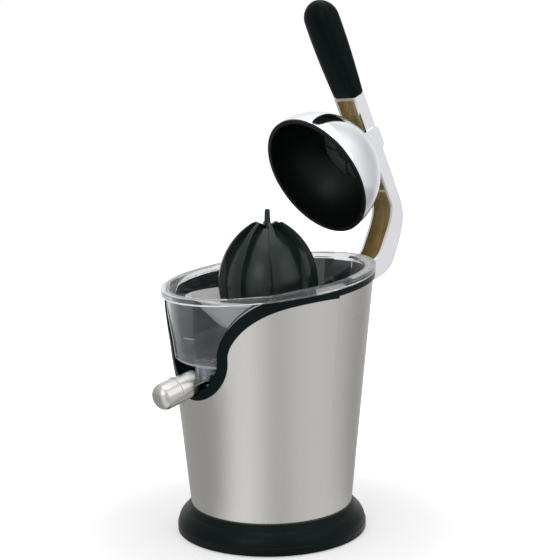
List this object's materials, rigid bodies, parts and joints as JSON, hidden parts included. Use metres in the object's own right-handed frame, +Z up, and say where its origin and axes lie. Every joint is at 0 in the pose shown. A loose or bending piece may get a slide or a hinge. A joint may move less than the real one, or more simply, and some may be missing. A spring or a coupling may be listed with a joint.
{
  "type": "electric lever citrus juicer",
  "caption": "Electric citrus juicer with a tapered steel body, clear juice bowl, ribbed reamer, tipping spout and a hinged lever with a press dome",
  "frame": {"origin": "on the floor under the middle of the round base", "axes": "+Z up along the reamer's axis, -Y to the spout, +Y to the lever's hinge, +X to the right seen from the spout"},
  "size_m": [0.1698, 0.2491, 0.4232],
  "materials": {
    "black_moulding": "satin black moulded plastic",
    "foot_rubber": "matt black rubber",
    "plain_steel": "plain bright steel",
    "brushed_shell": "fine vertical-brushed stainless sheet",
    "pressed_steel": "satin pressed stainless sheet",
    "cast_alloy": "plain cast alloy",
    "clear_bowl": "clear moulded plastic",
    "gear_nylon": "natural nylon",
    "lamination_steel": "stacked lamination steel",
    "copper_winding": "enamelled copper winding",
    "reamer_moulding": "satin dark moulded plastic",
    "chrome_plate": "polished chrome plate",
    "soft_grip": "soft-touch black grip"
  },
  "bodies": {
    "housing": {"base_ring": "black_moulding", "bottom_plate": "black_moulding", "rubber_feet": "foot_rubber", "base_screws": "plain_steel", "cord_gland": "foot_rubber", "steel_shell": "brushed_shell", "trim_ring": "black_moulding", "inner_housing": "black_moulding", "hinge_bracket": "cast_alloy", "bracket_screws": "plain_steel", "juice_bowl": "clear_bowl", "strainer": "pressed_steel", "shaft_sleeve": "gear_nylon", "shaft_seal": "foot_rubber", "guide_pin": "plain_steel", "return_spring": "plain_steel", "switch_body": "black_moulding", "gearbox_plate": "plain_steel", "gearbox_cover": "plain_steel", "gearbox_posts": "plain_steel", "idler_axle": "plain_steel", "motor_stator": "lamination_steel", "motor_coil": "copper_winding", "upper_motor_bracket": "cast_alloy", "lower_motor_bracket": "cast_alloy", "spout_pin": "plain_steel"},
    "press_carriage": {"thrust_collar": "gear_nylon"},
    "reamer": {"drive_shaft": "plain_steel", "shaft_clips": "plain_steel", "reamer_cone": "reamer_moulding"},
    "output_wheel": {"output_gear": "gear_nylon"},
    "idler": {"idler_gear": "gear_nylon"},
    "rotor": {"rotor_core": "lamination_steel", "motor_shaft": "plain_steel", "motor_pinion": "gear_nylon"},
    "start_button": {"switch_plunger": "gear_nylon"},
    "lever": {"lever_arm": "chrome_plate", "hinge_pin": "plain_steel", "dome_shell": "chrome_plate", "dome_liner": "black_moulding", "dome_screw": "plain_steel", "grip": "soft_grip"},
    "drip_spout": {"spout": "pressed_steel"}
  },
  "joints": [
    {"name": "lever_swing", "type": "hinge", "parent": "housing", "child": "lever", "pos_m": [0, 0.085, 0.2], "axis": [1, 0, 0], "range_deg": [0, 57]},
    {"name": "shaft_press", "type": "slide", "parent": "housing", "child": "press_carriage", "axis": [0, 0, 1], "range_m": [-0.003, 0], "stiffness_N_per_m": 800, "springref_m": 0.006, "deforming": ["return_spring"]},
    {"name": "reamer_spin", "type": "hinge", "parent": "press_carriage", "child": "reamer", "pos_m": [0, 0, 0.15], "axis": [0, 0, 1], "continuous": true},
    {"name": "output_spin", "type": "hinge", "parent": "housing", "child": "output_wheel", "pos_m": [0, 0, 0.1], "axis": [0, 0, 1], "continuous": true},
    {"name": "idler_spin", "type": "hinge", "parent": "housing", "child": "idler", "pos_m": [0, 0.0324, 0.095], "axis": [0, 0, 1], "continuous": true},
    {"name": "rotor_spin", "type": "hinge", "parent": "housing", "child": "rotor", "pos_m": [0, 0, 0.055], "axis": [0, 0, 1], "continuous": true},
    {"name": "button_press", "type": "slide", "parent": "housing", "child": "start_button", "axis": [0, 0, 1], "range_m": [-0.003, 0]},
    {"name": "spout_tip", "type": "hinge", "parent": "housing", "child": "drip_spout", "pos_m": [0, -0.06, 0.119], "axis": [1, 0, 0], "range_deg": [-8, 0]}
  ],
  "couplings": [
    {"joint": "output_spin", "follows": "reamer_spin", "ratio": 1},
    {"joint": "idler_spin", "follows": "reamer_spin", "ratio": -4.4},
    {"joint": "rotor_spin", "follows": "reamer_spin", "ratio": 19.36},
    {"joint": "button_press", "follows": "shaft_press", "ratio": 1}
  ]
}
